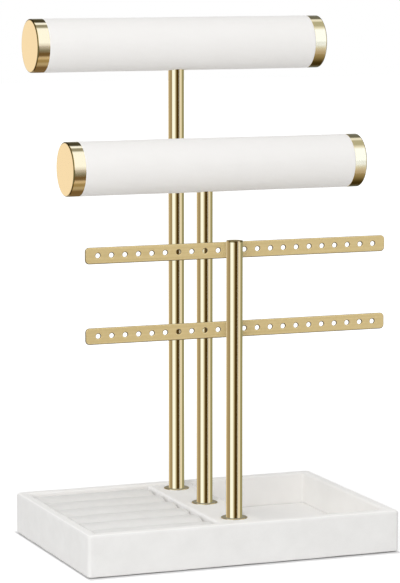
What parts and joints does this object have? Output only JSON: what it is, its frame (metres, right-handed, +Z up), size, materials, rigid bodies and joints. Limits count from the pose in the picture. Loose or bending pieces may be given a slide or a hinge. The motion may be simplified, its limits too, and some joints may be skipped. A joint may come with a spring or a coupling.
{
  "type": "tabletop jewellery stand",
  "caption": "Velvet tray with a slotted cushion and an open compartment, under two padded hanging rolls and a post with pierced bars, each on its own turning upright.",
  "frame": {"origin": "centre of the base's footprint, on the surface that the stand rests on", "axes": "+Z up; +Y to the back, along the row of uprights; +X to the right, along the rolls and bars, with the open compartment on that side"},
  "size_m": [0.2415, 0.166, 0.3862],
  "materials": {
    "velvet": "short matt velvet pile",
    "roll_velvet": "fine velvet, close pile",
    "felt": "pressed felt",
    "board": "raw fibre board",
    "core": "plain tube",
    "polished_gold": "mirror-polished gold plating on steel",
    "satin_gold": "satin gold plating on steel",
    "zinc": "zinc plated"
  },
  "bodies": {
    "base": {"felt_pad": "felt", "bottom_board": "board", "front_wall": "board", "back_wall": "board", "left_wall": "board", "right_wall": "board", "centre_beam": "board", "tray_velvet": "velvet", "beam_velvet": "velvet", "floor_pad": "velvet", "cushion_roll_1": "velvet", "cushion_roll_2": "velvet", "cushion_roll_3": "velvet", "cushion_roll_4": "velvet", "cushion_roll_5": "velvet", "cushion_roll_6": "velvet", "post_washers": "zinc", "post_screws": "zinc"},
    "rear_upright": {"rear_post": "polished_gold", "rear_flange": "polished_gold", "rear_foot_plug": "zinc", "rear_top_plug": "zinc", "upper_stud": "zinc", "upper_block": "board", "upper_core": "core", "upper_sleeve": "roll_velvet", "upper_left_cap": "polished_gold", "upper_right_cap": "polished_gold"},
    "middle_upright": {"middle_post": "polished_gold", "middle_flange": "polished_gold", "middle_foot_plug": "zinc", "middle_top_plug": "zinc", "lower_stud": "zinc", "lower_block": "board", "lower_core": "core", "lower_sleeve": "roll_velvet", "lower_left_cap": "polished_gold", "lower_right_cap": "polished_gold"},
    "front_upright": {"front_post": "polished_gold", "front_flange": "polished_gold", "front_foot_plug": "zinc", "front_post_cap": "polished_gold", "bar_plugs": "zinc", "upper_bar": "satin_gold", "lower_bar": "satin_gold", "bar_screws": "polished_gold"}
  },
  "joints": [
    {"name": "rear_swivel", "type": "hinge", "parent": "base", "child": "rear_upright", "pos_m": [0, 0.058, 0.03], "axis": [0, 0, 1], "range_deg": [-90, 90]},
    {"name": "middle_swivel", "type": "hinge", "parent": "base", "child": "middle_upright", "pos_m": [0, 0, 0.03], "axis": [0, 0, 1], "range_deg": [-60, 60]},
    {"name": "front_swivel", "type": "hinge", "parent": "base", "child": "front_upright", "pos_m": [0, -0.058, 0.03], "axis": [0, 0, 1], "range_deg": [-70, 70]}
  ]
}
